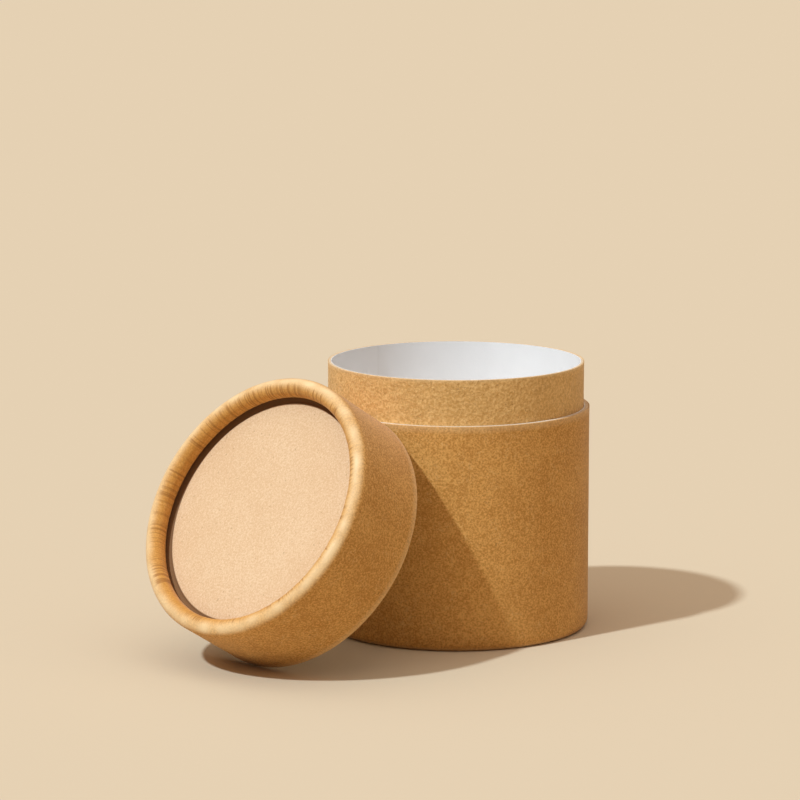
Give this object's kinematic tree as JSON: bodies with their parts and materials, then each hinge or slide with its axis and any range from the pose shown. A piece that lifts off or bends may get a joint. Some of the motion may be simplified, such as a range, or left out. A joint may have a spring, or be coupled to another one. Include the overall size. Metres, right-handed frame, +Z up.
{
  "type": "gift tube box",
  "caption": "Round gift box of kraft paper and board: an upright tube with a white-lined neck and a slip-on lid, both with a rolled end over a recessed disc. The lid leans on the tube.",
  "frame": {"origin": "centre of the ring that the upright tube stands on, at the level of the table", "axes": "+Z up along the tube's axis, out of its mouth; the lid leans on the -X, -Y side"},
  "size_m": [0.1307, 0.128, 0.0811],
  "materials": {
    "kraft_paper": "matte kraft paper with fine fibres",
    "neck_paper": "matte kraft paper, lightly crinkled",
    "kraft_disc": "matte, smooth kraft-faced board",
    "board": "matte, cut edge",
    "white_card": "matte",
    "white_paper": "smooth matte"
  },
  "bodies": {
    "box": {"outer_tube": "board", "outer_wrap": "kraft_paper", "outer_lining": "white_card", "base_disc": "kraft_disc", "base_disc_lining": "white_paper", "neck_tube": "board", "neck_wrap": "neck_paper", "neck_lining": "white_paper"},
    "lid": {"lid_tube": "board", "lid_wrap": "kraft_paper", "lid_lining": "white_card", "lid_disc": "kraft_disc", "lid_disc_lining": "white_paper"}
  },
  "joints": [
    {"name": "lid_lift", "type": "slide", "parent": "box", "child": "lid", "axis": [-0.5999, -0.6104, 0.5172], "range_m": [0, 0.12]}
  ]
}
